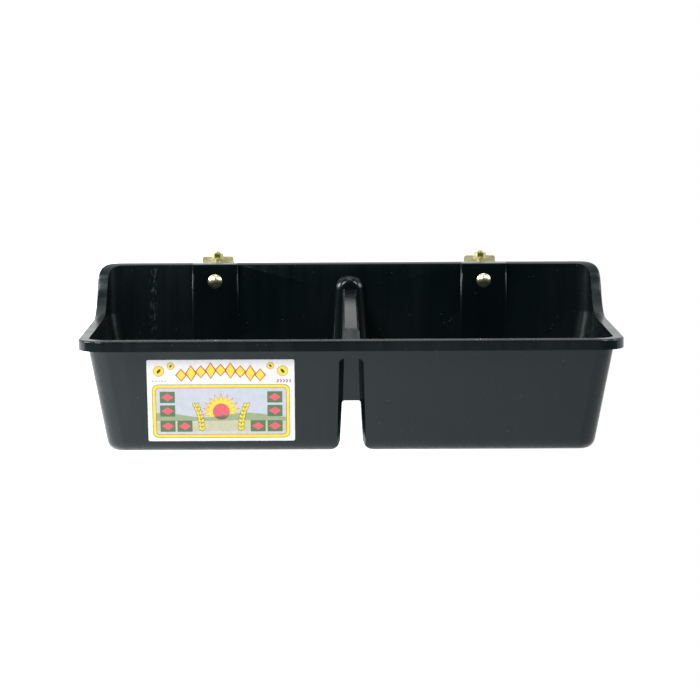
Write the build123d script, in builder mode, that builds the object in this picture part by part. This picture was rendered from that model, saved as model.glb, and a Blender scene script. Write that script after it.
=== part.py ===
"""Hook over feeder: a moulded two-tub trough that hangs on a rail by two adjustable steel hooks.

X runs along the trough, Y from the front rim to the hooks, Z up. The origin lies under the middle of the
whole assembly, on the surface that the tubs stand on.
"""

from build123d import *
from math import atan2, cos, radians, sin, tan
import os

os.makedirs("parts", exist_ok=True)

# Trough, overall
rim_length = 610.0
rim_depth = 278.0
front_height = 130.0
back_height = 189.0
wall = 3.0
floor_wall = 3.5
side_draft = radians(9.4)
front_draft = radians(9.0)
back_draft = radians(5.5)
tub_corner = 21.0
foot_radius = 15.0

# Rim: a flange with a skirt, which follows the swept side line
rim_overhang = 9.0
rim_drop = 12.0
rim_corner = 30.0
rim_edge = 2.5
sweep_foot = rim_depth - 39.0
sweep_head = rim_depth - 21.0
sweep_foot_radius = 0.983 * (back_height - front_height)
sweep_head_radius = 0.424 * (back_height - front_height)

# Divider between the tubs, hollow from below
tunnel_base = 27.0
tunnel_draft = radians(3.0)
tunnel_mouth_height = 58.0
tunnel_mouth_corner = 3.0
ridge_front = 18.0
ridge_front_drop = 19.0
ridge_knee = 50.0
ridge_knee_rise = 7.0
ridge_back = rim_depth - 28.0
ridge_back_rise = 28.0
ridge_edge = 2.5

# Groove in the front wall and its twin in the back wall
front_groove_depth = 9.0
front_groove_drop = 22.0
front_groove_top = 27.0
front_groove_base = 33.5
front_groove_slope = 5.5
front_groove_corner = 5.0
back_groove_depth = 12.0
back_groove_drop = 18.0
back_groove_top = 30.0
back_groove_base = 48.0
back_groove_round = 8.0

# Seats for the hooks: bosses inside the back wall, recesses outside
hook_spacing = 326.0
seat_width = 54.0
seat_recess = 9.0
seat_foot = 70.0
seat_flare = radians(1.5)
seat_edge = 2.0

# Steel straps
strap = 3.0
strap_width = 39.0
strap_bend = 1.5
strap_corner = 3.5
bracket_leg = 44.0
bracket_foot_corner = 8.0
bracket_top_drop = 7.5
bracket_reach = 81.0
tab_height = 9.0
hook_reach = 87.0
hook_drop = 78.0
hook_lap = 14.0
hook_foot_corner = 10.0
slide_play = 0.2
travel = 35.0

# Bolts and flange nuts, 5/16 inch
rod = 7.94
rod_hole = 9.0
square_neck = 8.1
square_hole = 8.6
neck_length = 2.9
head_diameter = 17.2
head_height = 4.4
nut_flats = 12.7
nut_height = 7.5
nut_chamfer = 1.2
flange_diameter = 17.4
flange_height = 2.6
flange_edge = 1.1
thread_play = 0.05
wall_bolt_drop = 21.0
clamp_reach = 68.0
clamp_gap = 6.2
stickout = 2.8
rod_tip = 0.8

# Label on the left tub
label_x = 159.3 - rim_length / 2
label_width = 164.5
label_height = 95.5
label_thickness = 0.4
label_corner = 2.0
label_rise = 13.3

# Places worked out from the sizes above
seat_offset = rim_depth - rim_overhang - seat_recess
overall_depth = seat_offset + hook_reach
front_y = -overall_depth / 2
rim_back_y = front_y + rim_depth
seat_y = front_y + seat_offset
clamp_y = seat_y + clamp_reach
wall_bolt_z = back_height - wall_bolt_drop
bracket_top = back_height - bracket_top_drop
hook_top = bracket_top - strap - slide_play
sweep_angle = atan2(back_height - front_height, sweep_head - sweep_foot)
beyond = 10.0


def side_x(z):
    """Outer face of the end wall at a height."""
    return rim_length / 2 - rim_overhang - max(0.0, front_height - z) * tan(side_draft)


def front_wall_y(z):
    """Outer face of the front wall at a height."""
    return front_y + rim_overhang + max(0.0, front_height - z) * tan(front_draft)


def back_wall_y(z):
    """Outer face of the back wall at a height."""
    return rim_back_y - rim_overhang - max(0.0, back_height - z) * tan(back_draft)


def plan(z, inset):
    """Draw the trough's rounded plan at a height, set in from its outer face."""
    width = 2 * (side_x(z) - inset)
    near, far = front_wall_y(z) + inset, back_wall_y(z) - inset
    with BuildSketch(Plane.XY.offset(z), mode=Mode.PRIVATE) as outline:
        with Locations((0, (near + far) / 2)):
            RectangleRounded(width, far - near, tub_corner - inset)
    return outline.sketch


def below_rim(drop):
    """Everything under the swept side line, or under that line lowered square to itself."""
    shift = drop * tan(sweep_angle / 2)
    foot = (front_y + sweep_foot + shift, front_height - drop)
    head = (front_y + sweep_head + shift, back_height - drop)
    with BuildPart(mode=Mode.PRIVATE) as region:
        with BuildSketch(Plane.YZ):
            with BuildLine():
                start = (front_y - beyond, front_height - drop)
                end = (rim_back_y + beyond, back_height - drop)
                radii = [sweep_foot_radius + drop, sweep_head_radius - drop]
                FilletPolyline(start, foot, head, end, radius=radii)
                Polyline(end, (end[0], -beyond), (start[0], -beyond), start)
            make_face()
        extrude(amount=rim_length / 2 + beyond, both=True)
    return region.part


def channel(half_base, draft, foot_z, top_z, foot_round):
    """Section of the divider or its hollow: drafted sides with a rounded flare at the foot."""
    half_foot = half_base - foot_z * tan(draft)
    half_top = half_base - top_z * tan(draft)
    reach = foot_round * tan((radians(90) - draft) / 2)
    lift = reach * cos(draft)
    rim_x = half_foot + reach
    side = half_foot - reach * sin(draft)
    with BuildSketch(Plane.XZ, mode=Mode.PRIVATE) as section:
        with BuildLine():
            for sign in (1, -1):
                Line((sign * half_top, top_z), (sign * side, foot_z + lift))
                RadiusArc((sign * side, foot_z + lift), (sign * rim_x, foot_z), -sign * foot_round)
                Line((sign * rim_x, foot_z), (sign * rim_x, foot_z - beyond))
            Line((-rim_x, foot_z - beyond), (rim_x, foot_z - beyond))
            Line((-half_top, top_z), (half_top, top_z))
        make_face()
    return section.sketch


def under_ridge(drop):
    """Everything under the divider's ridge line, lowered by an amount."""
    rise = front_height - drop
    slope = (ridge_back_rise - ridge_knee_rise) / (ridge_back - ridge_knee)
    end_y = rim_back_y + beyond
    end_z = rise + ridge_knee_rise + slope * (end_y - front_y - ridge_knee)
    with BuildPart(mode=Mode.PRIVATE) as region:
        with BuildSketch(Plane.YZ):
            with BuildLine():
                Polyline(
                    (front_y, rise - ridge_front_drop),
                    (front_y + ridge_front + drop, rise - ridge_front_drop),
                    (front_y + ridge_knee + drop, rise + ridge_knee_rise),
                    (end_y, end_z), (end_y, -beyond), (front_y, -beyond), close=True,
                )
            make_face()
        extrude(amount=3 * tunnel_base, both=True)
    return region.part


def between_walls(front_inset, back_inset):
    """Everything between the front and back walls, set in from their outer faces."""
    near = [front_wall_y(z) + front_inset / cos(front_draft) for z in (-beyond, front_height)]
    far = [back_wall_y(z) - back_inset / cos(back_draft) for z in (-beyond, back_height)]
    with BuildPart(mode=Mode.PRIVATE) as region:
        with BuildSketch(Plane.YZ):
            with BuildLine():
                Polyline(
                    (near[0], -beyond), (near[1], front_height), (near[1], back_height),
                    (far[1], back_height), (far[0], -beyond), close=True,
                )
            make_face()
        extrude(amount=3 * tunnel_base, both=True)
    return region.part


with BuildPart() as ridge_room:
    add(between_walls(2 * wall, 2 * wall))
    with Locations((0, 0, front_height - beyond)):
        Box(
            6 * tunnel_base, overall_depth, back_height,
            align=(Align.CENTER, Align.CENTER, Align.MIN), mode=Mode.INTERSECT,
        )

with BuildPart() as outside:
    for height in (0.0, front_height, back_height):
        add(plan(height, 0.0))
    loft(ruled=True)
    fillet(outside.edges().group_by(Axis.Z)[0], foot_radius)
    add(below_rim(0.0), mode=Mode.INTERSECT)
    add(ridge_room.part)

# Divider and the bulges that it runs into, as solids standing in the tubs' space
with BuildPart() as divider:
    with BuildSketch(Plane.XZ):
        add(channel(tunnel_base / 2 + wall, tunnel_draft, floor_wall, back_height, foot_radius - wall))
    extrude(amount=overall_depth, both=True)
    add(under_ridge(0.0), mode=Mode.INTERSECT)
    ridge_top = divider.faces().filter_by(lambda face: face.normal_at().Z > 0.8)
    chamfer(ridge_top.edges().filter_by(lambda edge: abs(edge.tangent_at(0.5).X) < 0.2), ridge_edge)


def front_slot(grow):
    """Tapered groove in the front wall, or its plastic skin when grown by the wall."""
    slant = cos(front_draft)
    wall_plane = Plane(
        origin=(0, front_wall_y(0), 0), x_dir=(1, 0, 0), z_dir=(0, -cos(front_draft), -sin(front_draft))
    )
    foot_v = -beyond / slant
    top_v = (front_height - front_groove_drop) / slant + grow
    with BuildPart(mode=Mode.PRIVATE) as slot:
        for depth in (-wall, front_groove_depth + grow):
            narrow = front_groove_slope * depth / front_groove_depth - grow
            base_half = front_groove_base / 2 - narrow
            top_half = front_groove_top / 2 - narrow
            with BuildSketch(wall_plane.offset(-depth)):
                with BuildLine():
                    Polyline(
                        (-base_half, foot_v), (base_half, foot_v), (top_half, top_v), (-top_half, top_v),
                        close=True,
                    )
                make_face()
        loft(ruled=True)
        top_edges = slot.edges().filter_by(lambda edge: abs(edge.tangent_at(0.5).Y) > 0.7)
        fillet(top_edges.group_by(Axis.Z)[-1], front_groove_corner + grow / 2)
    return slot.part


def back_slot(grow):
    """Arched groove in the back wall, or its plastic skin when grown by the wall."""
    wall_plane = Plane(
        origin=(0, back_wall_y(0), 0), x_dir=(1, 0, 0), z_dir=(0, -cos(back_draft), sin(back_draft))
    )
    slant = cos(back_draft)
    crown_half = back_groove_top / 2 + grow
    base_half = back_groove_base / 2 + grow
    crown_v = (back_height - back_groove_drop) / slant + grow - crown_half
    with BuildPart(mode=Mode.PRIVATE) as slot:
        with BuildSketch(wall_plane.offset(-wall)):
            with BuildLine():
                Polyline(
                    (-crown_half, crown_v), (-base_half, -beyond), (base_half, -beyond), (crown_half, crown_v)
                )
                RadiusArc((-crown_half, crown_v), (crown_half, crown_v), crown_half)
            make_face()
        extrude(amount=wall + back_groove_depth + grow)
        nose = slot.faces().filter_by(lambda face: face.normal_at().Y < -0.9)
        foot = nose.edges().group_by(Axis.Z)[0]
        fillet(nose.edges() - foot, back_groove_round + grow)
    return slot.part


def seat_block(grow, top):
    """Upright seat for one hook in the back wall, in the middle; grown by the wall it is the boss inside."""
    half_top = seat_width / 2 - wall + grow
    half_foot = half_top + (back_height - seat_foot) * tan(seat_flare)
    with BuildPart(mode=Mode.PRIVATE) as seat:
        with BuildSketch(Plane.XZ.offset(-seat_y + grow)):
            with BuildLine():
                Polyline(
                    (-half_top, top), (-half_foot, seat_foot), (half_foot, seat_foot), (half_top, top), close=True
                )
            make_face()
        extrude(amount=-(rim_depth - seat_offset + beyond))
        uprights = seat.edges().filter_by(lambda edge: abs(edge.tangent_at(0.5).Z) > 0.7)
        fillet(uprights.group_by(Axis.Y)[0], seat_edge + grow / 2)
    return seat.part


seats = GridLocations(hook_spacing, 0, 2, 1)

with BuildPart() as cavity:
    for height in (floor_wall, front_height, back_height):
        add(plan(height, wall))
    with BuildSketch(Plane.XY.offset(back_height + beyond)):
        add(plan(back_height, wall))
    loft(ruled=True)
    fillet(cavity.edges().group_by(Axis.Z)[0], foot_radius - wall)
    add(divider.part, mode=Mode.SUBTRACT)
    add(front_slot(wall), mode=Mode.SUBTRACT)
    add(back_slot(wall), mode=Mode.SUBTRACT)
    with Locations(*seats):
        add(seat_block(wall, back_height + 2 * beyond), mode=Mode.SUBTRACT)

with BuildPart() as hollow:
    with BuildSketch(Plane.XZ):
        add(channel(tunnel_base / 2, tunnel_draft, 0.0, back_height, foot_radius))
    extrude(amount=overall_depth, both=True)
    add(under_ridge(wall), mode=Mode.INTERSECT)
    add(between_walls(front_groove_depth + wall, back_groove_depth + wall), mode=Mode.INTERSECT)

with BuildPart() as tunnel:
    with BuildSketch(Plane.XZ):
        add(channel(tunnel_base / 2, tunnel_draft, 0.0, tunnel_mouth_height, foot_radius))
    extrude(amount=overall_depth, both=True)
    top_edges = tunnel.faces().sort_by(Axis.Z)[-1].edges().filter_by(Axis.Y)
    fillet(top_edges, tunnel_mouth_corner)

with BuildPart() as rim:
    with BuildSketch():
        with Locations((0, front_y + rim_depth / 2)):
            RectangleRounded(rim_length, rim_depth, rim_corner)
    extrude(amount=back_height)
    add(below_rim(0.0), mode=Mode.INTERSECT)
    add(below_rim(rim_drop), mode=Mode.SUBTRACT)
    upper = rim.faces().filter_by(lambda face: face.normal_at().Z > 0.1)
    lip_edges = upper.edges() & rim.faces().filter_by(lambda face: abs(face.normal_at().Z) < 0.05).edges()
    fillet(lip_edges, rim_edge)

with BuildPart() as rim_hollow:
    with BuildSketch():
        with Locations((0, front_y + rim_depth / 2)):
            RectangleRounded(rim_length - 2 * wall, rim_depth - 2 * wall, rim_corner - wall)
    extrude(amount=back_height)
    add(below_rim(wall), mode=Mode.INTERSECT)

with BuildPart() as trough:
    add(rim.part)
    add(rim_hollow.part, mode=Mode.SUBTRACT)
    add(outside.part)
    add(cavity.part, mode=Mode.SUBTRACT)
    add(hollow.part, mode=Mode.SUBTRACT)
    add(tunnel.part, mode=Mode.SUBTRACT)
    add(front_slot(0.0), mode=Mode.SUBTRACT)
    add(back_slot(0.0), mode=Mode.SUBTRACT)
    with Locations(*seats):
        add(seat_block(0.0, back_height - wall), mode=Mode.SUBTRACT)
    with BuildSketch(Plane.XZ):
        with Locations(*[(place.position.X, wall_bolt_z) for place in seats]):
            Rectangle(square_hole, square_hole)
    extrude(amount=-rim_depth, mode=Mode.SUBTRACT)
trough.part.label = "trough"
export_step(trough.part, "parts/trough.step")


def bent_strap(x, corners, radii, side):
    """Flat strap bent along a line of corners, which is one of its faces seen from the side."""
    with BuildPart(mode=Mode.PRIVATE) as bent:
        with BuildSketch(Plane.YZ.offset(x - strap_width / 2)):
            with BuildLine():
                FilletPolyline(*corners, radius=radii)
                offset(amount=strap, side=side)
            make_face()
        extrude(amount=strap_width)
    return bent.part


def carriage_bolt(length):
    """Domed bolt standing on its head, with the surface that it clamps at height 0."""
    dome = (head_diameter**2 / 4 + head_height**2) / (2 * head_height)
    with BuildPart(mode=Mode.PRIVATE) as bolt:
        with BuildSketch(Plane.XZ):
            with BuildLine():
                Line((0, 0), (0, -head_height))
                RadiusArc((0, -head_height), (head_diameter / 2, 0), -dome)
                Line((head_diameter / 2, 0), (0, 0))
            make_face()
        revolve(axis=Axis.Z)
        with BuildSketch():
            Rectangle(square_neck, square_neck)
        extrude(amount=neck_length)
        with BuildSketch():
            Circle(rod / 2)
        extrude(amount=length)
        chamfer(bolt.edges().filter_by(GeomType.CIRCLE).sort_by(Axis.Z)[-1], rod_tip)
    return bolt.part


def flange_nut():
    """Hexagon nut on its flange, seat at height 0."""
    corners = nut_flats / cos(radians(30))
    with BuildPart(mode=Mode.PRIVATE) as nut:
        with BuildSketch():
            RegularPolygon(nut_flats / 2, 6, major_radius=False)
        extrude(amount=nut_height)
        with BuildSketch(Plane.XZ):
            with BuildLine():
                Polyline(
                    (0, 0), (corners, 0), (corners, nut_height - nut_chamfer),
                    (nut_flats / 2 - nut_chamfer / 2, nut_height), (0, nut_height), close=True,
                )
            make_face()
        revolve(axis=Axis.Z, mode=Mode.INTERSECT)
        with BuildSketch(Plane.XZ):
            with BuildLine():
                Polyline(
                    (0, 0), (flange_diameter / 2, 0), (flange_diameter / 2, flange_edge),
                    (nut_flats / 2, flange_height), (0, flange_height), close=True,
                )
            make_face()
        revolve(axis=Axis.Z)
        Hole(rod / 2 + thread_play)
    return nut.part


for side, x in (("left", -hook_spacing / 2), ("right", hook_spacing / 2)):
    inner_bend, outer_bend = strap_bend, strap_bend + strap
    with BuildPart() as bracket:
        run_z = bracket_top - strap
        tab_y = seat_y + bracket_reach
        add(bent_strap(
            x,
            [
                (seat_y + strap, bracket_top - bracket_leg), (seat_y + strap, run_z),
                (tab_y, run_z), (tab_y, bracket_top + tab_height),
            ],
            [inner_bend, outer_bend], Side.LEFT,
        ))
        fillet(bracket.edges().filter_by(Axis.Y).group_by(Axis.Z)[0], bracket_foot_corner)
        fillet(bracket.edges().filter_by(Axis.Y).group_by(Axis.Z)[-1], strap_corner)
        with BuildSketch(Plane.XY.offset(run_z)):
            with Locations((x, clamp_y - travel / 2)):
                SlotOverall(travel + rod_hole, rod_hole, rotation=90)
        extrude(amount=strap, mode=Mode.SUBTRACT)
        with BuildSketch(Plane.XZ.offset(-seat_y - 2 * strap)):
            with Locations((x, wall_bolt_z)):
                Circle(rod_hole / 2)
        extrude(amount=3 * strap, mode=Mode.SUBTRACT)

    with BuildPart() as hook:
        back_y = seat_y + hook_reach
        add(bent_strap(
            x, [(clamp_y - hook_lap, hook_top), (back_y, hook_top), (back_y, hook_top - hook_drop)],
            [outer_bend], Side.RIGHT,
        ))
        foot = hook.edges().filter_by(Axis.Y).group_by(Axis.Z)[0]
        nose = hook.edges().filter_by(Axis.Z).group_by(Axis.Y)[0]
        fillet(foot, hook_foot_corner)
        fillet(nose, strap_corner)
        with BuildSketch(Plane.XY.offset(hook_top)):
            with Locations((x, clamp_y)):
                Rectangle(square_hole, square_hole)
        extrude(amount=-strap, mode=Mode.SUBTRACT)

    clamp_length = 2 * strap + slide_play + clamp_gap + nut_height + stickout
    wall_length = wall + strap + nut_height + stickout
    upright = Location((x, clamp_y, hook_top - strap))
    nut_seat = Location((x, clamp_y, bracket_top + clamp_gap))
    through_wall = Plane(origin=(x, seat_y - wall, wall_bolt_z), x_dir=(1, 0, 0), z_dir=(0, 1, 0)).location
    behind_wall = Plane(origin=(x, seat_y + strap, wall_bolt_z), x_dir=(1, 0, 0), z_dir=(0, 1, 0)).location

    pieces = {
        "wall_bracket": bracket.part,
        "hook_leg": hook.part,
        "wall_bolt": carriage_bolt(wall_length).moved(through_wall),
        "wall_nut": flange_nut().moved(behind_wall),
        "clamp_bolt": carriage_bolt(clamp_length).moved(upright),
        "clamp_nut": flange_nut().moved(nut_seat),
    }
    for kind, piece in pieces.items():
        name = f"{side}_{kind}"
        piece.label = name
        export_step(piece, f"parts/{name}.step")

label_plane = Plane(
    origin=(label_x, front_wall_y(0), 0), x_dir=(1, 0, 0), z_dir=(0, -cos(front_draft), -sin(front_draft))
)
with BuildPart() as front_label:
    with BuildSketch(label_plane):
        with Locations((0, label_rise + label_height / 2)):
            RectangleRounded(label_width, label_height, label_corner)
    extrude(amount=label_thickness)
front_label.part.label = "front_label"
export_step(front_label.part, "parts/front_label.step")
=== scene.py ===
"""Hook over feeder: the looks of the trough, its zinc plated hooks and bolts, and its printed label."""

import math

import bmesh
import bpy
from mathutils import Matrix, Quaternion, Vector


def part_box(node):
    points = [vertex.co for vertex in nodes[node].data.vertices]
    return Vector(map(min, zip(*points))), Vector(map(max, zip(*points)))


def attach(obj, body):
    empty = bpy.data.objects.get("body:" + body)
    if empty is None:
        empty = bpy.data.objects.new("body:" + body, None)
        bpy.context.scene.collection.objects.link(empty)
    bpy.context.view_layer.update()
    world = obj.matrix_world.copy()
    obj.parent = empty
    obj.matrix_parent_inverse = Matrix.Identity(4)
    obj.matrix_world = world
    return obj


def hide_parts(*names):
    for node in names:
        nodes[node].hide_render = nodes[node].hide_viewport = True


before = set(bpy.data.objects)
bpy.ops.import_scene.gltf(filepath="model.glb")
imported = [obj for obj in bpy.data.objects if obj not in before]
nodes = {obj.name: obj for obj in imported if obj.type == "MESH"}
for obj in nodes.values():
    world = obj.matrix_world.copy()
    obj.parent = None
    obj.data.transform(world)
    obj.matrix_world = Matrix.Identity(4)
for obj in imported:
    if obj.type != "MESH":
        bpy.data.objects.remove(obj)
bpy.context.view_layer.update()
SIDES = ("left", "right")

# Trough sizes that the places below are worked out from, in metres
FRONT_HEIGHT = 0.130
RIM_OVERHANG = 0.009
WALL = 0.003
FRONT_DRAFT = math.radians(9.0)
BACK_DRAFT = math.radians(5.5)
trough_low, trough_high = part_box("trough")
FRONT_Y = trough_low.y
BACK_HEIGHT = trough_high.z
BACK_INSIDE_Y = trough_high.y - RIM_OVERHANG - WALL

# Hardware, 5/16 inch with 18 threads to the inch
ROD_RADIUS = 0.00397
PITCH = 0.0254 / 18
THREAD_DEPTH = 0.61 * PITCH
THREAD_STEPS = 28
HEAD_RADIUS = 0.0086
HEAD_HEIGHT = 0.0044
HEAD_EDGE = 0.0004
NECK_HALF = 0.00405
NECK_LENGTH = 0.0029
TIP = 0.0008
SPIN_STEPS = 48
ARC_STEPS = 12

# One turn of the thread, as (share of the pitch, how far up from the root to the crest)
THREAD_PROFILE = ((0.0, 1.0), (0.125, 1.0), (0.5, 0.0), (0.625, 0.0), (1.0, 1.0))

# The thread starts this many pitches below its foot, where it is then cut off
THREAD_LEAD = 1.5

# Edges that the solids leave sharp
STRAP_EDGE = 0.0004
NUT_EDGE = 0.00025
PLASTIC_EDGE = 0.0012

# Points closer than this are one, faces flatter than this are one, edges sharper than this are rounded
MERGE = 1e-6
METAL_FLAT = math.radians(0.5)
METAL_CORNER = math.radians(30.0)
PLASTIC_FLAT = math.radians(0.3)
PLASTIC_CORNER = math.radians(40.0)

# Edges sharper than this keep a hard line in the shading
SHADED_CORNER = math.radians(35.0)
PLASTIC_SHADED_CORNER = math.radians(25.0)

# How far the large faces lead the shading of the corners that they share with small ones, 50 is by area
FLAT_WEIGHT = 95

# Label sheet and the layers of ink on it
SHEET_WIDTH = 0.1645
SHEET_HEIGHT = 0.0955
SHEET_THICKNESS = 0.0002
SHEET_CORNER = 0.002
LABEL_THICKNESS = 0.0004
INK = 0.00002
MILLIMETRES = 1000

# Upright lines inside the back wall, as (place, foot height)
MOULD_LINES = ((-0.226, 0.06), (-0.072, 0.06), (0.0, 0.174), (0.047, 0.06), (0.0995, 0.06))
LINE_WIDTH = 0.0009
LINE_RISE = 0.0003
LINE_HEAD_DROP = 0.004

# Scuff down the inside of the back wall, on the left
SCUFF_X = -0.238
SCUFF_WIDTH = 0.006
SCUFF_DEPTH = 0.001

# Seats of the hooks: their flat tops close over the recesses for the straps
SEAT_WIDTH = 0.054
SEAT_FACE_Y = FRONT_Y + 0.257
SEAT_TOP_BACK_Y = FRONT_Y + 0.272
SEAT_CAP_DROP = 0.012
SEAT_EDGE = 0.0016

# The seats' tops stand this far off the solid's own faces, so that no two faces share a plane
SEAT_SHIM = 0.0001

# Around the seats the trough's edges stay as they are
SEAT_X = 0.163
SEAT_KEPT = 0.036
SEAT_KEPT_Y = 0.055

# Colours of the plastic and the zinc, each zinc as (light, deep)
PLASTIC_PLAIN = (0.002, 0.004, 0.0045)
PLASTIC_DEEP = (0.0010, 0.0032, 0.0036)
PLASTIC_LIGHT = (0.0028, 0.0052, 0.0054)
PLASTIC_SHEEN = (0.82, 0.96, 1.0, 1.0)
DUST = (0.13, 0.15, 0.15)
SCUFF_PALE = (0.05, 0.07, 0.08)
STRAP_COLORS = ((0.80, 0.77, 0.58), (0.70, 0.65, 0.44))
BOLT_COLORS = ((0.84, 0.81, 0.60), (0.70, 0.64, 0.36))
NUT_COLORS = ((0.56, 0.53, 0.25), (0.42, 0.37, 0.14))
ZINC_GREEN = (0.50, 0.56, 0.30)
INK_COLORS = {
    "white": (0.92, 0.92, 0.93), "yellow": (0.93, 0.76, 0.06), "red": (0.66, 0.05, 0.05),
    "green": (0.09, 0.19, 0.08), "sky": (0.60, 0.64, 0.72), "meadow": (0.34, 0.42, 0.24),
    "straw": (0.60, 0.58, 0.40), "black": (0.03, 0.03, 0.03), "blue": (0.08, 0.16, 0.42),
    "gray": (0.35, 0.35, 0.38), "rose": (0.80, 0.12, 0.16),
}

# Sockets of the Mix node for two colours and their blend
FIRST_COLOR = 6
SECOND_COLOR = 7
BLENDED = 2


def piece_from(bm, name, body, finish, smooth=True, corner=SHADED_CORNER):
    """Turn a bmesh into a finished piece that rides on a body."""
    bmesh.ops.recalc_face_normals(bm, faces=bm.faces)
    mesh = bpy.data.meshes.new(name)
    bm.to_mesh(mesh)
    bm.free()
    for each in finish if isinstance(finish, list) else [finish]:
        mesh.materials.append(each)
    piece = bpy.data.objects.new(name, mesh)
    bpy.context.scene.collection.objects.link(piece)
    if smooth:
        mesh.shade_smooth()
        mesh.set_sharp_from_angle(angle=corner)
        weighted = piece.modifiers.new("weighted", "WEIGHTED_NORMAL")
        weighted.keep_sharp = True
        weighted.weight = FLAT_WEIGHT
    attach(piece, body)
    return piece


def merged_copy(name):
    """Copy of a CAD node's mesh where it stands, its loose triangles joined."""
    bm = bmesh.new()
    bm.from_mesh(nodes[name].data)
    bm.transform(nodes[name].matrix_world)
    bmesh.ops.remove_doubles(bm, verts=bm.verts, dist=MERGE)
    return bm


def round_over(bm, edges, offset, segments, clamp=False):
    """Give edges a small radius."""
    bmesh.ops.bevel(
        bm, geom=edges, offset=offset, affect="EDGES", segments=segments, profile=0.5, material=-1,
        clamp_overlap=clamp,
    )


def extruded(bm, outline, travel):
    """Closed slab: a flat outline drawn out by a vector."""
    face = bm.faces.new([bm.verts.new(point) for point in outline])
    made = bmesh.ops.extrude_face_region(bm, geom=[face])["geom"]
    moved = [item for item in made if isinstance(item, bmesh.types.BMVert)]
    bmesh.ops.translate(bm, verts=moved, vec=travel)


def drawn_line(bm, points):
    """Open line of (radius, height) points in the XZ plane, as the geometry that a spin takes."""
    verts = [bm.verts.new((radius, 0.0, height)) for radius, height in points]
    return verts + [bm.edges.new(pair) for pair in zip(verts, verts[1:])]


def lathe(bm, profile):
    """Turn a line of (radius, height) points about the Z axis and close its poles."""
    kept = set(bm.verts)
    bmesh.ops.spin(
        bm, geom=drawn_line(bm, profile), cent=(0, 0, 0), axis=(0, 0, 1), angle=2 * math.pi,
        steps=SPIN_STEPS, use_merge=True,
    )
    bmesh.ops.remove_doubles(bm, verts=[vert for vert in bm.verts if vert not in kept], dist=MERGE)


def thread(bm, start, top):
    """Screw thread from one height to another, with a cone at its tip and both ends closed."""
    turns = math.ceil((top - start) / PITCH) + 2
    profile = [
        (ROD_RADIUS - THREAD_DEPTH * (1 - crest), start + PITCH * (share - THREAD_LEAD))
        for share, crest in THREAD_PROFILE
    ]
    bmesh.ops.spin(
        bm, geom=drawn_line(bm, profile), cent=(0, 0, 0), axis=(0, 0, 1), angle=2 * math.pi * turns,
        dvec=(0, 0, PITCH / THREAD_STEPS), steps=turns * THREAD_STEPS,
    )
    bmesh.ops.remove_doubles(bm, verts=bm.verts, dist=MERGE)
    for vert in bm.verts:
        cone = max(ROD_RADIUS + top - TIP - vert.co.z, ROD_RADIUS - 2 * TIP)
        radius = math.hypot(vert.co.x, vert.co.y)
        if radius > cone:
            vert.co.xy *= cone / radius
    for height, side in ((start, -1.0), (top, 1.0)):
        everything = bm.verts[:] + bm.edges[:] + bm.faces[:]
        bmesh.ops.bisect_plane(
            bm, geom=everything, plane_co=(0, 0, height), plane_no=(0, 0, side), clear_outer=True
        )
    bmesh.ops.holes_fill(bm, edges=[edge for edge in bm.edges if edge.is_boundary], sides=0)


def bolt_head(bm):
    """Dome with a broken edge, over the surface that it clamps at height 0."""
    dome = (HEAD_RADIUS**2 + HEAD_HEIGHT**2) / (2 * HEAD_HEIGHT)
    reach = math.asin((HEAD_RADIUS - HEAD_EDGE / 2) / dome)
    angles = [reach * step / ARC_STEPS for step in range(ARC_STEPS + 1)]
    arc = [(dome * math.sin(angle), dome - HEAD_HEIGHT - dome * math.cos(angle)) for angle in angles]
    lathe(bm, [*arc, (HEAD_RADIUS, -HEAD_EDGE / 2), (HEAD_RADIUS - HEAD_EDGE / 2, 0.0), (0.0, 0.0)])


def bolt_neck(bm):
    """Square neck under the head, its upright edges rounded."""
    verts = bmesh.ops.create_cube(bm, size=2 * NECK_HALF)["verts"]
    for vert in verts:
        vert.co.z = NECK_LENGTH if vert.co.z > 0 else 0.0
    uprights = {
        edge for vert in verts for edge in vert.link_edges
        if abs(edge.verts[0].co.z - edge.verts[1].co.z) > TIP
    }
    round_over(bm, list(uprights), HEAD_EDGE, 2)


def carriage_bolt(name, body, place, turn, length):
    """Domed and threaded bolt; the surface that its head clamps is at its own height 0."""
    bm = bmesh.new()
    thread(bm, NECK_LENGTH, length)
    bolt_head(bm)
    bolt_neck(bm)
    bm.transform(Matrix.Translation(place) @ turn)
    piece = piece_from(bm, f"{name}_threaded", body, bolt_zinc)
    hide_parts(name)


def softened(name, body, finish, edge):
    """Copy of a CAD node with its sharp edges rounded over."""
    bm = merged_copy(name)
    bmesh.ops.dissolve_limit(bm, angle_limit=METAL_FLAT, verts=bm.verts, edges=bm.edges)
    corners = [
        line for line in bm.edges
        if len(line.link_faces) == 2 and line.calc_face_angle() > METAL_CORNER
    ]
    round_over(bm, corners, edge, 2, clamp=True)
    piece = piece_from(bm, f"{name}_soft", body, finish)
    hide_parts(name)


def map_range(tree, value, start, end, low, high, curve="LINEAR"):
    """Stretch a node's values from start..end to low..high."""
    made = tree.nodes.new("ShaderNodeMapRange")
    made.interpolation_type = curve
    for name, number in (("From Min", start), ("From Max", end), ("To Min", low), ("To Max", high)):
        made.inputs[name].default_value = number
    tree.links.new(value, made.inputs["Value"])
    return made.outputs["Result"]


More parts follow.
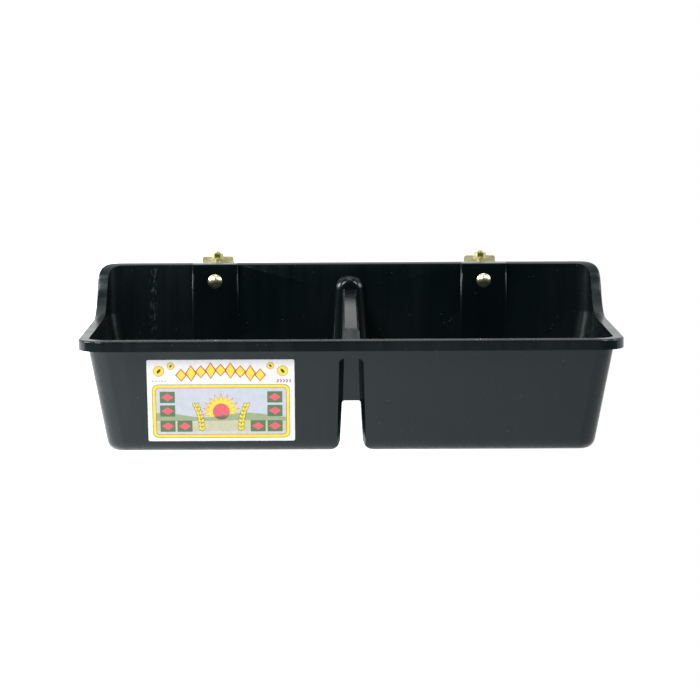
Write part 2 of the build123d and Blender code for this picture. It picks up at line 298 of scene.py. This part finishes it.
class Finish:
    """A material under construction: one Principled shader and the textures that feed it."""

    def __init__(self, name, color, roughness, metallic=0.0):
        self.material = bpy.data.materials.new(name)
        self.material.use_nodes = True
        self.tree = self.material.node_tree
        self.shader = self.tree.nodes["Principled BSDF"]
        self.shader.inputs["Base Color"].default_value = (*color, 1.0)
        self.shader.inputs["Roughness"].default_value = roughness
        self.shader.inputs["Metallic"].default_value = metallic

    def node(self, kind, **settings):
        made = self.tree.nodes.new(kind)
        for name, value in settings.items():
            if name in made.inputs:
                made.inputs[name].default_value = value
            else:
                setattr(made, name, value)
        return made

    def join(self, source, target):
        self.tree.links.new(source, target)

    def feed(self, socket, source):
        """Lead a texture into one of the shader's own sockets."""
        self.join(source, self.shader.inputs[socket])

    def place(self, stretch=(1.0, 1.0, 1.0)):
        coordinates = self.node("ShaderNodeTexCoord")
        mapping = self.node("ShaderNodeMapping")
        mapping.inputs["Scale"].default_value = stretch
        self.join(coordinates.outputs["Object"], mapping.inputs["Vector"])
        return mapping.outputs["Vector"]

    def noise(self, scale, detail=2.0, stretch=(1.0, 1.0, 1.0)):
        made = self.node("ShaderNodeTexNoise", Scale=scale, Detail=detail)
        self.join(self.place(stretch), made.inputs["Vector"])
        return made.outputs["Fac"]

    def spread(self, value, low, high, start=0.3, end=0.7):
        """Stretch a texture's values from start..end to low..high."""
        return map_range(self.tree, value, start, end, low, high)

    def mix(self, factor, first, second):
        """Colour between two others, each a colour or a texture's output."""
        made = self.node("ShaderNodeMix", data_type="RGBA")
        self.join(factor, made.inputs["Factor"])
        for socket, value in ((made.inputs[FIRST_COLOR], first), (made.inputs[SECOND_COLOR], second)):
            if isinstance(value, tuple):
                socket.default_value = (*value, 1.0)
            else:
                self.join(value, socket)
        return made.outputs[BLENDED]

    def compute(self, operation, first, second=0.0):
        """Arithmetic on two values, each a number or a node's output."""
        made = self.node("ShaderNodeMath", operation=operation)
        for socket, value in ((made.inputs[0], first), (made.inputs[1], second)):
            if isinstance(value, (int, float)):
                socket.default_value = value
            else:
                self.join(value, socket)
        return made.outputs[0]

    def both(self, first, second):
        return self.compute("MULTIPLY", first, second)

    def bump(self, *layers):
        """Stack bumps, each a (height, strength, distance), from the coarsest to the finest."""
        normal = None
        for height, strength, distance in layers:
            made = self.node("ShaderNodeBump", Strength=strength, Distance=distance)
            self.join(height, made.inputs["Height"])
            if normal:
                self.join(normal, made.inputs["Normal"])
            normal = made.outputs["Normal"]
        self.feed("Normal", normal)


def dust_specks(finish):
    """Mask of tiny dots, in some of the cells of a fine pattern."""
    cells = finish.node("ShaderNodeTexVoronoi", Scale=150.0)
    finish.join(finish.place(), cells.inputs["Vector"])
    chosen = finish.compute("GREATER_THAN", cells.outputs["Color"], 0.60)
    dot = finish.compute("LESS_THAN", cells.outputs["Distance"], 0.05)
    return finish.both(chosen, dot)


def wall_scuff(finish):
    """Mask of a scratchy upright streak on the inner face of the sloping back wall."""
    where = finish.node("ShaderNodeSeparateXYZ")
    finish.join(finish.place(), where.inputs["Vector"])
    off_line = finish.compute("ABSOLUTE", finish.compute("ADD", where.outputs["X"], -SCUFF_X))
    beside = finish.spread(off_line, low=1.0, high=0.0, start=0.0, end=SCUFF_WIDTH)
    lean = finish.both(where.outputs["Z"], -math.tan(BACK_DRAFT))
    depth = finish.compute("ADD", where.outputs["Y"], lean)
    face = BACK_INSIDE_Y - BACK_HEIGHT * math.tan(BACK_DRAFT)
    behind = finish.compute("GREATER_THAN", depth, face - SCUFF_DEPTH)
    before = finish.compute("LESS_THAN", depth, face + SCUFF_DEPTH)
    grain = finish.noise(scale=420.0, detail=4.0, stretch=(1.0, 1.0, 0.35))
    scratchy = finish.spread(grain, low=0.0, high=1.0, start=0.52, end=0.70)
    return finish.both(finish.both(beside, finish.both(behind, before)), scratchy)


def black_polyethylene():
    """Moulded trough plastic: near black with a teal cast, waxy gloss, flow streaks, dust specks, a scuff."""
    finish = Finish("black_polyethylene", PLASTIC_PLAIN, 0.25)
    finish.shader.inputs["IOR"].default_value = 1.45
    finish.shader.inputs["Specular Tint"].default_value = PLASTIC_SHEEN
    cloud = finish.noise(scale=7.0, detail=3.0)
    streaks = finish.noise(scale=70.0, detail=3.0, stretch=(1.0, 1.0, 0.05))
    peel = finish.noise(scale=240.0)
    grain = finish.noise(scale=2600.0, detail=1.0)
    tone = finish.mix(finish.spread(cloud, low=0.0, high=1.0), PLASTIC_DEEP, PLASTIC_LIGHT)
    dusty = finish.mix(dust_specks(finish), tone, DUST)
    finish.feed("Base Color", finish.mix(wall_scuff(finish), dusty, SCUFF_PALE))
    streaked = finish.spread(streaks, low=-0.03, high=0.05)
    clouded = finish.spread(cloud, low=0.21, high=0.29)
    finish.feed("Roughness", finish.compute("ADD", streaked, clouded))
    finish.bump((streaks, 0.10, 0.0005), (peel, 0.05, 0.0002), (grain, 0.05, 0.00004))
    return finish.material


def zinc_plate(name, colors, roughness, brushed=(1.0, 1.0, 1.0)):
    """Yellow zinc plate: pale gold with deeper and greenish clouds and a fine satin grain."""
    light, deep = colors
    finish = Finish(name, light, roughness, metallic=1.0)
    cloud = finish.noise(scale=120.0, detail=3.0)
    tint = finish.noise(scale=260.0)
    grain = finish.noise(scale=1500.0, stretch=brushed)
    gold = finish.mix(finish.spread(cloud, low=0.0, high=1.0), light, deep)
    green = finish.mix(finish.spread(tint, low=0.0, high=0.5, start=0.45, end=0.75), gold, ZINC_GREEN)
    finish.feed("Base Color", green)
    finish.feed("Roughness", finish.spread(grain, low=roughness - 0.06, high=roughness + 0.10))
    finish.bump((grain, 0.12, 0.00004))
    return finish.material


def printed(name, color):
    """Ink on the label's film, a little uneven."""
    finish = Finish(name, color, 0.32)
    faded = tuple(0.9 * part for part in color)
    blotch = finish.noise(scale=180.0)
    finish.feed("Base Color", finish.mix(finish.spread(blotch, low=0.0, high=1.0), color, faded))
    return finish.material


plastic = black_polyethylene()
strap_zinc = zinc_plate("strap_zinc", STRAP_COLORS, 0.48, brushed=(1.0, 0.06, 1.0))
bolt_zinc = zinc_plate("bolt_zinc", BOLT_COLORS, 0.30)
nut_zinc = zinc_plate("nut_zinc", NUT_COLORS, 0.30)
inks = {name: printed(f"ink_{name}", color) for name, color in INK_COLORS.items()}


def finish_for(name):
    """Material of a CAD node, by what its name says it is."""
    if name == "trough":
        return plastic
    if name == "front_label":
        return inks["white"]
    if "bolt" in name:
        return bolt_zinc
    if "nut" in name:
        return nut_zinc
    return strap_zinc


def hardware(side):
    """One hook's straps, bolts and nuts."""
    low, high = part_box(f"{side}_wall_bolt")
    middle = (low + high) / 2
    carriage_bolt(
        f"{side}_wall_bolt", "trough_body", Vector((middle.x, low.y + HEAD_HEIGHT, middle.z)),
        Matrix.Rotation(-math.pi / 2, 4, "X"), high.y - low.y - HEAD_HEIGHT,
    )
    low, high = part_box(f"{side}_clamp_bolt")
    middle = (low + high) / 2
    carriage_bolt(
        f"{side}_clamp_bolt", f"{side}_hook", Vector((middle.x, middle.y, low.z + HEAD_HEIGHT)),
        Matrix.Identity(4), high.z - low.z - HEAD_HEIGHT,
    )
    softened(f"{side}_wall_nut", "trough_body", nut_zinc, NUT_EDGE)
    softened(f"{side}_clamp_nut", f"{side}_nut", nut_zinc, NUT_EDGE)
    softened(f"{side}_wall_bracket", "trough_body", strap_zinc, STRAP_EDGE)
    softened(f"{side}_hook_leg", f"{side}_hook", strap_zinc, STRAP_EDGE)


def oval(u, v, across, along, turn=0.0, count=28):
    """Points of an oval; its long axis is turned from the label's upright."""
    points = []
    for step in range(count):
        angle = 2 * math.pi * step / count
        a, b = across * math.cos(angle), along * math.sin(angle)
        points.append((
            u + a * math.cos(turn) - b * math.sin(turn), v + a * math.sin(turn) + b * math.cos(turn)
        ))
    return points


def star(u, v, outer, inner, rays):
    """Points of a star, from its upper ray on."""
    points = []
    for step in range(2 * rays):
        angle = math.pi * step / rays
        reach = inner if step % 2 else outer
        points.append((u + reach * math.sin(angle), v + reach * math.cos(angle)))
    return points


def rounded(u, v, half_u, half_v, corner, count=6):
    """Points of a rectangle with round corners."""
    points = []
    for quarter, (side_u, side_v) in enumerate(((1, 1), (-1, 1), (-1, -1), (1, -1))):
        for step in range(count + 1):
            angle = math.pi / 2 * (quarter + step / count)
            points.append((
                u + side_u * (half_u - corner) + corner * math.cos(angle),
                v + side_v * (half_v - corner) + corner * math.sin(angle),
            ))
    return points


def lozenge(u, v, half_u, half_v):
    return [(u - half_u, v), (u, v - half_v), (u + half_u, v), (u, v + half_v)]


def chevron(u, v, width, half_height):
    """Arrow head that points to the right from a notched back."""
    return [
        (u, v - half_height), (u + width, v - half_height), (u + 2 * width, v),
        (u + width, v + half_height), (u, v + half_height), (u + width, v),
    ]


def hills(half_width, lower, upper, swell, waves, shift, count=48):
    """Strip with a straight foot, whose upper edge follows a wave."""
    foot = []
    top = []
    for step in range(count + 1):
        share = step / count
        u = 2 * half_width * share - half_width
        rise = swell * math.sin(2 * math.pi * (waves * share + shift))
        foot.append((u, lower))
        top.append((u, upper + rise))
    return foot[::-1] + top


# The label's design, in millimetres from its middle. The frame's rings are (colour, inset, corner)
FRAME_V = -12.5
FRAME_HALF = (77.0, 31.5)
FRAME_RINGS = (("green", 0.0, 6.5), ("yellow", 0.6, 6.0), ("red", 3.8, 4.0), ("sky", 4.4, 3.6))
FIELD_HALF = FRAME_HALF[0] - FRAME_RINGS[-1][1]
SUN_V = -13
SUN_RAYS = 18
TILE_PLACES = ((60, 4), (60, -12), (41, -30), (60, -30))
TILE_HALF = (8.4, 6.6)
TILE_CORNER = 0.6
TILE_LOZENGE = (6.8, 4.6)
GRAIN_ROWS = 7
GRAIN_STEP = 4.6
GRAIN_FOOT = (22, -33)
GRAIN_LEAN = 0.18
GRAIN_TURN = 0.6
GRAIN_SPREAD = 2.3
GRAIN_OUTLINE = (1.9, 3.3)
GRAIN_KERNEL = (1.5, 2.8)
SMALL_COUNT = 14
ROUNDELS = ((69, 34.5, 6.2), (55.5, 40.5, 4.2))
ROUNDEL_EDGE = 0.5
ROUNDEL_EYE = (0.24, 0.48)
ROUNDEL_TURN = 0.7
GARLAND_COUNT = 9
GARLAND_STEP = 11
GARLAND_V = 31
GARLAND_SWAG = 4.5
GARLAND_WAVE = 24
GARLAND_TALL = (6.2, 8.4)
GARLAND_HALF = 5
GARLAND_BORDER = (1.6, 1.4)
ROW_COUNT = 5
ROW_START = 62
ROW_STEP = 3.4
ROW_V = 23
CHEVRON_WIDTH = 1.6
CHEVRON_HALF = 2


def framed_sunrise():
    """Rounded frame around a sun over two hills."""
    shapes = []
    for layer, (color, inset, corner) in enumerate(FRAME_RINGS, start=1):
        outline = rounded(0, FRAME_V, FRAME_HALF[0] - inset, FRAME_HALF[1] - inset, corner)
        shapes.append((color, layer, outline))
    shapes.append(("red", 5, star(0, SUN_V, 21.5, 14, SUN_RAYS)))
    shapes.append(("yellow", 6, star(0, SUN_V, 20, 13.4, SUN_RAYS)))
    shapes.append(("rose", 7, oval(0, SUN_V, 9.6, 9.6)))
    shapes.append(("meadow", 7, hills(FIELD_HALF, -24, -17, 2.6, 1.5, 0.2)))
    shapes.append(("straw", 8, hills(FIELD_HALF, -36, -25, 1.8, 1.0, 0.6)))
    return shapes


def tiles(flip):
    """Green tiles with a lozenge on each, down one side of the frame."""
    shapes = []
    for u, v in TILE_PLACES:
        shapes.append(("green", 9, rounded(flip * u, v, *TILE_HALF, TILE_CORNER)))
        shapes.append(("rose", 10, lozenge(flip * u, v, *TILE_LOZENGE)))
    return shapes


def ear_of_grain(flip):
    """Pairs of kernels up a stalk that leans out."""
    shapes = []
    foot_u, foot_v = GRAIN_FOOT
    for row in range(GRAIN_ROWS):
        v = foot_v + GRAIN_STEP * row
        for turn in (-GRAIN_TURN, GRAIN_TURN):
            u = flip * (foot_u + GRAIN_LEAN * row * row) - GRAIN_SPREAD * math.sin(turn)
            shapes.append(("black", 9, oval(u, v, *GRAIN_OUTLINE, turn, SMALL_COUNT)))
            shapes.append(("yellow", 10, oval(u, v, *GRAIN_KERNEL, turn, SMALL_COUNT)))
    return shapes


def roundels(flip):
    """Ringed discs with a slanting eye, in an upper corner."""
    shapes = []
    for u, v, size in ROUNDELS:
        inner = size - ROUNDEL_EDGE
        across, along = (size * share for share in ROUNDEL_EYE)
        shapes.append(("red", 1, oval(flip * u, v, size, size)))
        shapes.append(("yellow", 2, oval(flip * u, v, inner, inner)))
        shapes.append(("black", 3, oval(flip * u, v, across, along, flip * ROUNDEL_TURN, SMALL_COUNT)))
    return shapes


def garland():
    """Row of bordered lozenges along an arch over the frame."""
    shapes = []
    border_u, border_v = GARLAND_BORDER
    for step in range(GARLAND_COUNT):
        u = GARLAND_STEP * (step - GARLAND_COUNT // 2)
        v = GARLAND_V + GARLAND_SWAG * math.cos(u / GARLAND_WAVE)
        tall = GARLAND_TALL[step % 2]
        shapes.append(("red", 3, lozenge(u, v, GARLAND_HALF + border_u, tall + border_v)))
        shapes.append(("yellow", 4, lozenge(u, v, GARLAND_HALF, tall)))
    return shapes


def small_rows():
    """Chevrons on the right and dots on the left, just above the frame."""
    shapes = []
    for step in range(ROW_COUNT):
        u = ROW_START + ROW_STEP * step
        color = "blue" if step % 2 else "red"
        shapes.append((color, 1, chevron(u, ROW_V, CHEVRON_WIDTH, CHEVRON_HALF)))
        shapes.append(("gray", 1, lozenge(-u, ROW_V, 1.0, 1.0)))
    return shapes


def label_shapes():
    """The label's design: (colour, layer, outline) for each shape."""
    shapes = framed_sunrise()
    for flip in (-1, 1):
        shapes += tiles(flip) + ear_of_grain(flip) + roundels(flip)
    return shapes + garland() + small_rows()


def label_frame():
    """Place of the label on the sloping front wall, with its own Z pointing out of the wall."""
    low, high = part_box("front_label")
    normal = Vector((0, -math.cos(FRONT_DRAFT), -math.sin(FRONT_DRAFT)))
    upward = Vector((0, -math.sin(FRONT_DRAFT), math.cos(FRONT_DRAFT)))
    placed = Matrix((Vector((1, 0, 0)), upward, normal)).transposed().to_4x4()
    placed.translation = (low + high) / 2 - normal * LABEL_THICKNESS / 2
    return placed


def front_label():
    """White sheet with its printed shapes, each rising a hair further than the one that it lies on."""
    placed = label_frame()
    names = list(INK_COLORS)

    def slab(bm, outline, bottom, top, color):
        printed_before = len(bm.faces)
        points = [(u / MILLIMETRES, v / MILLIMETRES, bottom) for u, v in outline]
        extruded(bm, points, (0, 0, top - bottom))
        bm.faces.ensure_lookup_table()
        for face in bm.faces[printed_before:]:
            face.material_index = names.index(color)

    sheet = bmesh.new()
    half_u, half_v = (MILLIMETRES * size / 2 for size in (SHEET_WIDTH, SHEET_HEIGHT))
    outline = rounded(0, 0, half_u, half_v, MILLIMETRES * SHEET_CORNER)
    slab(sheet, outline, 0.0, SHEET_THICKNESS, "white")
    sheet.transform(placed)
    piece = piece_from(sheet, "label_sheet", "trough_body", inks["white"], False)
    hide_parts("front_label")
    ink = bmesh.new()
    for color, layer, outline in label_shapes():
        slab(ink, outline, SHEET_THICKNESS - INK, SHEET_THICKNESS + INK * layer, color)
    ink.transform(placed)
    piece_from(ink, "label_print", "trough_body", list(inks.values()), False)


def mould_lines():
    """Faint upright ribs on the inside of the back wall, where the mould's parts met."""
    bm = bmesh.new()
    for x, foot in MOULD_LINES:
        for vert in bmesh.ops.create_cube(bm, size=1.0)["verts"]:
            level = BACK_HEIGHT - LINE_HEAD_DROP if vert.co.z > 0 else foot
            wall = BACK_INSIDE_Y - (BACK_HEIGHT - level) * math.tan(BACK_DRAFT)
            rise = -LINE_RISE if vert.co.y < 0 else LINE_RISE
            vert.co = Vector((x + vert.co.x * LINE_WIDTH, wall + rise, level))
    piece_from(bm, "mould_lines", "trough_body", plastic, False)


def seat_top(side):
    """Flat top and upper face of one hook's seat, level with the rim."""
    low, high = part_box(f"{side}_wall_bracket")
    face, top, foot = SEAT_FACE_Y - SEAT_SHIM, BACK_HEIGHT - SEAT_SHIM, BACK_HEIGHT - SEAT_CAP_DROP
    half = SEAT_WIDTH / 2 + SEAT_SHIM
    end = (low.x + high.x) / 2 - half
    profile = (
        (face, foot), (face, top), (SEAT_TOP_BACK_Y, top), (SEAT_TOP_BACK_Y, top - WALL),
        (face + WALL, top - WALL), (face + WALL, foot),
    )
    bm = bmesh.new()
    extruded(bm, [(end, y, z) for y, z in profile], (2 * half, 0, 0))

    def in_front(line):
        return all(vert.co.y < face + WALL / 2 for vert in line.verts)

    def on_top(line):
        return all(vert.co.z > top - WALL / 2 for vert in line.verts)

    def upright(line):
        return abs(line.verts[0].co.x - line.verts[1].co.x) < WALL

    lines = [line for line in bm.edges if in_front(line) and (on_top(line) or upright(line))]
    round_over(bm, lines, SEAT_EDGE, 4)
    piece_from(bm, f"{side}_seat_top", "trough_body", plastic)


def soft_trough():
    """The trough with the small radii that moulding leaves on its outward edges, except at the seats."""
    bm = merged_copy("trough")

    def in_seat(vert):
        return abs(abs(vert.co.x) - SEAT_X) < SEAT_KEPT and vert.co.y > SEAT_KEPT_Y

    def clear(line):
        return not any(in_seat(vert) for vert in line.verts)

    bmesh.ops.dissolve_limit(
        bm, angle_limit=PLASTIC_FLAT, verts=[vert for vert in bm.verts if not in_seat(vert)],
        edges=[line for line in bm.edges if clear(line)],
    )
    bmesh.ops.recalc_face_normals(bm, faces=bm.faces)
    lines = [
        line for line in bm.edges
        if len(line.link_faces) == 2 and line.is_convex
        and line.calc_face_angle() > PLASTIC_CORNER and clear(line)
    ]
    round_over(bm, lines, PLASTIC_EDGE, 3, clamp=True)
    piece = piece_from(
        bm, "trough_soft", "trough_body", plastic, corner=PLASTIC_SHADED_CORNER
    )
    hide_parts("trough")


for name, node in nodes.items():
    node.data.materials.clear()
    node.data.materials.append(finish_for(name))
for side in SIDES:
    hardware(side)
front_label()
mould_lines()
for side in SIDES:
    seat_top(side)
soft_trough()

# The photograph's view: the camera, and where its picture has the middle of the front rim
ELEVATION = math.radians(8.0)
YAW = math.radians(0.45)
ROLL = math.radians(0.2)
DISTANCE = 2.547
FOCAL = 2304.0
PICTURE = 700.0
SENSOR = 36.0
RIM_TOP_X = 351.4
RIM_TOP_Y = 340.5
VIEW_DEPTH = 50.0

# The photograph's light: where white gives way to the dark room, by direction
BACKDROP_EDGE = (-0.05, 0.15)
TABLE_EDGE = (-0.36, -0.14)
ROOM_DARK = (0.004, 0.016, 0.018)
WHITE = (1.0, 1.0, 1.0)

# Towards the left the white is brighter, most of all below the horizon
LEFT_EDGE = (-0.13, 0.08)
LEFT_GAIN = 1.4
HORIZON_EDGE = (-0.10, 0.0)
ABOVE_HORIZON = 0.15

# Soft lights, as (name, place, size, power), all aimed at the trough
AIM = Vector((0, 0, 0.1))
LIGHTS = (
    ("key_light", (-1.3, -1.7, 1.9), 0.9, 52.0),
    ("fill_light", (1.3, -1.3, 1.9), 0.9, 26.0),
    ("top_light", (0.0, -0.3, 2.2), 1.0, 6.0),
    ("left_light", (-2.0, -0.25, 1.1), 0.8, 30.0),
    ("right_light", (2.0, -0.25, 1.1), 0.8, 16.0),
)


def photo_camera():
    """Camera that sees the middle of the front rim where the photograph has it."""
    level = math.cos(ELEVATION)
    forward = Vector((math.sin(YAW) * level, math.cos(YAW) * level, -math.sin(ELEVATION)))
    turn = Quaternion(forward, ROLL) @ forward.to_track_quat("-Z", "Y")
    right = turn @ Vector((1, 0, 0))
    up = turn @ Vector((0, 1, 0))
    scale = DISTANCE / FOCAL
    rim = Vector((0, FRONT_Y, FRONT_HEIGHT))
    aim = rim - right * (RIM_TOP_X - PICTURE / 2) * scale + up * (RIM_TOP_Y - PICTURE / 2) * scale
    data = bpy.data.cameras.new("photo_camera")
    data.sensor_width = SENSOR
    data.lens = FOCAL * SENSOR / PICTURE
    data.clip_end = VIEW_DEPTH
    camera = bpy.data.objects.new("photo_camera", data)
    camera.location = aim - forward * DISTANCE
    camera.rotation_mode = "QUATERNION"
    camera.rotation_quaternion = turn
    bpy.context.scene.collection.objects.link(camera)
    bpy.context.scene.camera = camera


def soft_light(name, place, size, power):
    """Round area light, aimed at the trough."""
    data = bpy.data.lights.new(name, "AREA")
    data.shape = "DISK"
    data.size = size
    data.energy = power
    light = bpy.data.objects.new(name, data)
    light.location = place
    light.rotation_euler = (AIM - Vector(place)).to_track_quat("-Z", "Y").to_euler()
    bpy.context.scene.collection.objects.link(light)


def photo_room():
    """World that is white behind and below and a dark room in front, by direction."""
    world = bpy.data.worlds.new("photo_room")
    world.use_nodes = True
    tree = world.node_tree
    direction = tree.nodes.new("ShaderNodeTexCoord")
    axes = tree.nodes.new("ShaderNodeSeparateXYZ")
    tree.links.new(direction.outputs["Generated"], axes.inputs["Vector"])

    def ramp(axis, edge, low, high):
        return map_range(tree, axes.outputs[axis], *edge, low, high, curve="SMOOTHSTEP")

    def brighter(first, second):
        made = tree.nodes.new("ShaderNodeMath")
        made.operation = "MAXIMUM"
        tree.links.new(first, made.inputs[0])
        tree.links.new(second, made.inputs[1])
        return made.outputs[0]

    # The camera itself sees white all round, also in views from behind
    ray = tree.nodes.new("ShaderNodeLightPath")
    bright = brighter(ramp("Y", BACKDROP_EDGE, 0.0, 1.0), ramp("Z", TABLE_EDGE, 1.0, 0.0))
    blend = tree.nodes.new("ShaderNodeMix")
    blend.data_type = "RGBA"
    blend.inputs[FIRST_COLOR].default_value = (*ROOM_DARK, 1.0)
    blend.inputs[SECOND_COLOR].default_value = (*WHITE, 1.0)
    tree.links.new(brighter(bright, ray.outputs["Is Camera Ray"]), blend.inputs["Factor"])
    strength = tree.nodes.new("ShaderNodeMath")
    strength.operation = "MULTIPLY_ADD"
    tree.links.new(ramp("X", LEFT_EDGE, LEFT_GAIN, 0.0), strength.inputs[0])
    tree.links.new(ramp("Z", HORIZON_EDGE, 1.0, ABOVE_HORIZON), strength.inputs[1])
    strength.inputs[2].default_value = 1.0
    background = tree.nodes["Background"]
    tree.links.new(blend.outputs[BLENDED], background.inputs["Color"])
    tree.links.new(strength.outputs[0], background.inputs["Strength"])
    bpy.context.scene.world = world


photo_camera()
photo_room()
for light in LIGHTS:
    soft_light(*light)
bpy.context.scene.view_settings.view_transform = "Standard"
